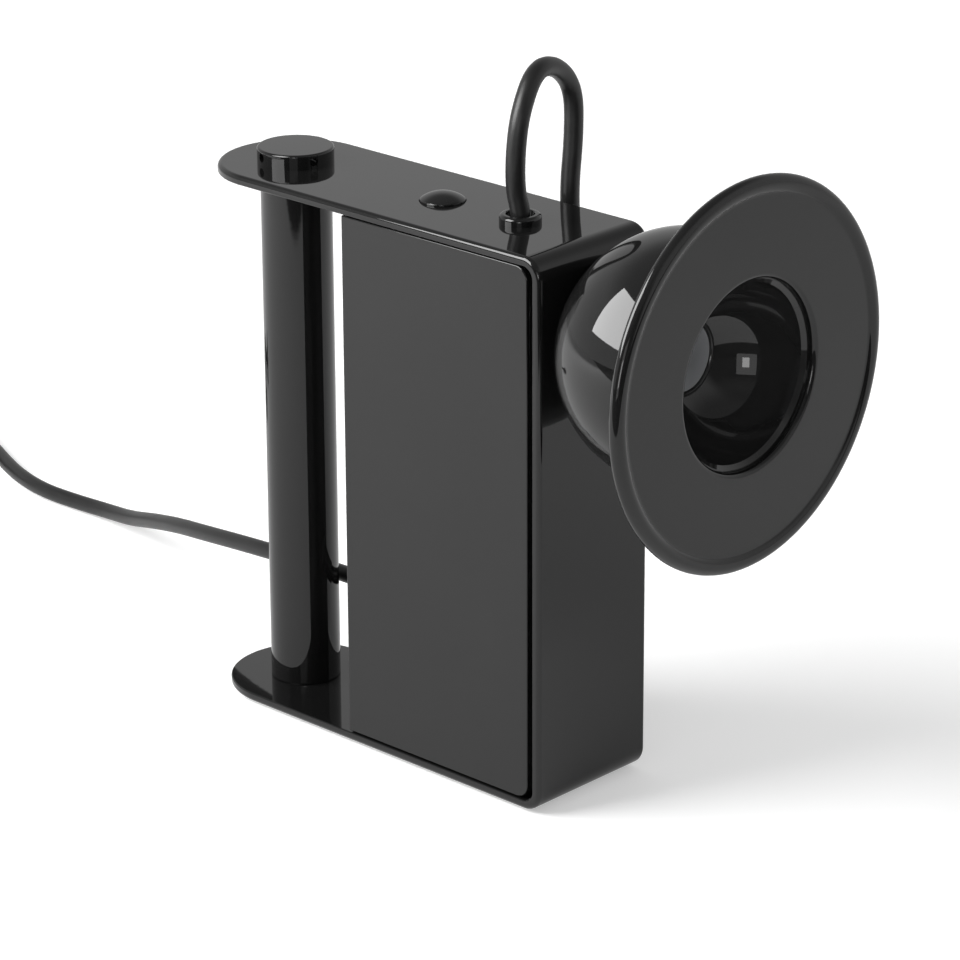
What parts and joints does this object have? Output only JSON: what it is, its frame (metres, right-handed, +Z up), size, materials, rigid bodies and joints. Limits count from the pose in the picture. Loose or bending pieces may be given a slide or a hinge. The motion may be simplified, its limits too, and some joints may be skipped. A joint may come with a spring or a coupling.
{
  "type": "table lamp",
  "caption": "Tabletop searchlight lamp: box in a C-frame with a grip post, and a brimmed ball head that turns on a magnetic seat.",
  "frame": {"origin": "on the table under the middle of the C-frame, on the underside of its rubber pad", "axes": "+X the way the head shines at rest, +Y towards the side that the cables leave on, +Z up"},
  "size_m": [0.6106, 0.1873, 0.2672],
  "materials": {
    "black_lacquer": "mirror-gloss black lacquer on steel",
    "head_lacquer": "mirror-gloss black lacquer on spun steel",
    "bowl_black": "polished black inside of the bowl, bevelled lip",
    "button_black": "glossy black",
    "foot_rubber": "matt black",
    "bright_steel": "zinc-plated steel",
    "magnet_nickel": "nickel-plated magnet",
    "glide_polymer": "black low-friction polymer",
    "switch_black": "matt black moulding",
    "brass": "bare brass",
    "spring_steel": "spring steel wire",
    "driver_white": "white moulded case",
    "tray_aluminium": "folded aluminium sheet",
    "terminal_cream": "cream moulding",
    "cable_black": "satin black cable sheath",
    "wire_grey": "grey wire insulation",
    "gland_black": "satin black moulding",
    "plug_black": "satin black moulding",
    "pin_nickel": "nickel-plated brass",
    "tie_black": "matt black strap",
    "barrel_black": "black anodised aluminium",
    "board_white": "white circuit board with a yellow emitter",
    "lens_frosted": "frosted lens",
    "bezel_black": "polished black ring"
  },
  "bodies": {
    "lamp_base": {"c_frame": "black_lacquer", "base_pad": "foot_rubber", "base_screws": "bright_steel", "grip_post": "black_lacquer", "tie_rod": "bright_steel", "grip_cap": "black_lacquer", "foot_nut": "bright_steel", "chassis": "black_lacquer", "side_cover_near": "black_lacquer", "side_cover_far": "black_lacquer", "cover_standoffs": "bright_steel", "cover_screws": "bright_steel", "switch_body": "switch_black", "switch_blades": "brass", "button_spring": "spring_steel", "top_bush": "black_lacquer", "bush_nut": "brass", "magnet_seat": "bright_steel", "magnet": "magnet_nickel", "seat_screws": "bright_steel", "led_driver": "driver_white", "driver_tray": "tray_aluminium", "terminal_block": "terminal_cream", "terminal_screws": "brass", "wiring_bracket": "switch_black", "cord_clamp": "switch_black", "clamp_screw": "bright_steel", "inner_mains": "cable_black", "inner_lead": "cable_black", "driver_wires": "wire_grey", "switch_wires": "wire_grey", "mains_gland": "gland_black", "mains_cord": "cable_black", "mains_coil": "cable_black", "coil_tie": "tie_black", "mains_tail": "cable_black", "plug_body": "plug_black", "plug_pins": "pin_nickel", "head_lead": "cable_black"},
    "button": {"push_button": "button_black"},
    "seat_ring": {"glide_ring": "glide_polymer"},
    "head": {"head_shell": "head_lacquer", "brim": "head_lacquer", "reflector": "bowl_black", "lamp_barrel": "barrel_black", "led_board": "board_white", "lens": "lens_frosted", "lens_bezel": "bezel_black", "holder_studs": "bright_steel", "head_gland": "gland_black", "head_wires": "wire_grey"}
  },
  "joints": [
    {"name": "button_press", "type": "slide", "parent": "lamp_base", "child": "button", "axis": [0, 0, -1], "range_m": [0, 0.002], "stiffness_N_per_m": 300, "springref_m": -0.003, "deforming": ["button_spring"]},
    {"name": "head_roll", "type": "hinge", "parent": "lamp_base", "child": "seat_ring", "pos_m": [0.1313, 0, 0.1785], "axis": [1, 0, 0], "range_deg": [-60, 60], "deforming": ["head_lead"]},
    {"name": "head_tilt", "type": "hinge", "parent": "seat_ring", "child": "head", "pos_m": [0.1313, 0, 0.1785], "axis": [0, 1, 0], "range_deg": [-35, 35], "deforming": ["head_lead"]}
  ]
}
